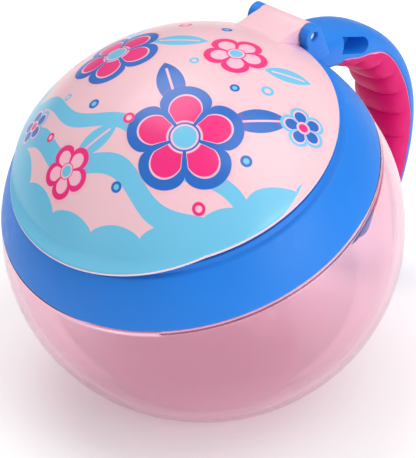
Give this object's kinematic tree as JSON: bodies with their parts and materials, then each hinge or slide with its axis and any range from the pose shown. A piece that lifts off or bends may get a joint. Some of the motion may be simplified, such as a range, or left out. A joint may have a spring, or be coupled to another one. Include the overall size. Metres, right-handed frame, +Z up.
{
  "type": "toddler snack container",
  "caption": "Ball-shaped snack cup for a small child: see-through bowl, tilted screw collar with a carrying handle, soft petal opening and domed flip lid.",
  "frame": {"origin": "centre of the bowl's flat base, on the plane that the cup stands on", "axes": "+Z up, +Y toward the hinge and the handle, +X along the hinge pin; the front with the finger lip faces -Y, and the object is symmetric about the plane x = 0"},
  "size_m": [0.108, 0.1381, 0.0993],
  "materials": {
    "bowl": "clear tinted copolyester, polished, faint pink",
    "collar": "moulded polypropylene, satin gloss, mid blue",
    "grip": "soft overmould with finger ridges, hot pink, fine matt texture",
    "pin": "drawn stainless wire",
    "lid": "moulded polypropylene, pale pink, printed on top, satin gloss",
    "liner": "moulded polypropylene, pale pink, fine matt",
    "insert": "soft elastomer, pink, silky matt"
  },
  "bodies": {
    "bowl": {"bowl": "bowl"},
    "insert": {"insert_ring": "insert"},
    "collar": {"collar": "collar", "handle_grip": "grip", "hinge_pin": "pin"},
    "lid": {"lid_dome": "lid", "lid_liner": "liner"},
    "petal_1": {"petal_1": "insert"},
    "petal_2": {"petal_2": "insert"},
    "petal_3": {"petal_3": "insert"},
    "petal_4": {"petal_4": "insert"},
    "petal_5": {"petal_5": "insert"},
    "petal_6": {"petal_6": "insert"}
  },
  "joints": [
    {"name": "collar_lift", "type": "slide", "parent": "bowl", "child": "insert", "axis": [0, -0.328, 0.9447], "range_m": [0, 0.0023]},
    {"name": "collar_twist", "type": "hinge", "parent": "insert", "child": "collar", "pos_m": [0, 0, 0.0449], "axis": [0, -0.328, 0.9447], "range_deg": [0, 45]},
    {"name": "lid_hinge", "type": "hinge", "parent": "collar", "child": "lid", "pos_m": [0, 0.03184, 0.09343], "axis": [-1, 0, 0], "range_deg": [0, 160]},
    {"name": "petal_1_bend", "type": "hinge", "parent": "insert", "child": "petal_1", "pos_m": [0.01515, -0.03409, 0.06307], "axis": [-0.866, -0.4723, -0.164], "range_deg": [0, 70], "stiffness_Nm_per_rad": 0.004, "springref_deg": -5.73},
    {"name": "petal_2_bend", "type": "hinge", "parent": "insert", "child": "petal_2", "pos_m": [0.0303, -0.0093, 0.07168], "axis": [0, -0.9447, -0.328], "range_deg": [0, 70], "stiffness_Nm_per_rad": 0.004, "springref_deg": -5.73},
    {"name": "petal_3_bend", "type": "hinge", "parent": "insert", "child": "petal_3", "pos_m": [0.01515, 0.01549, 0.08029], "axis": [0.866, -0.4723, -0.164], "range_deg": [0, 70], "stiffness_Nm_per_rad": 0.004, "springref_deg": -5.73},
    {"name": "petal_4_bend", "type": "hinge", "parent": "insert", "child": "petal_4", "pos_m": [-0.01515, 0.01549, 0.08029], "axis": [0.866, 0.4723, 0.164], "range_deg": [0, 70], "stiffness_Nm_per_rad": 0.004, "springref_deg": -5.73},
    {"name": "petal_5_bend", "type": "hinge", "parent": "insert", "child": "petal_5", "pos_m": [-0.0303, -0.0093, 0.07168], "axis": [0, 0.9447, 0.328], "range_deg": [0, 70], "stiffness_Nm_per_rad": 0.004, "springref_deg": -5.73},
    {"name": "petal_6_bend", "type": "hinge", "parent": "insert", "child": "petal_6", "pos_m": [-0.01515, -0.03409, 0.06307], "axis": [-0.866, 0.4723, 0.164], "range_deg": [0, 70], "stiffness_Nm_per_rad": 0.004, "springref_deg": -5.73}
  ],
  "couplings": [
    {"joint": "collar_lift", "follows": "collar_twist", "m_per_rad": 0.0028648}
  ]
}
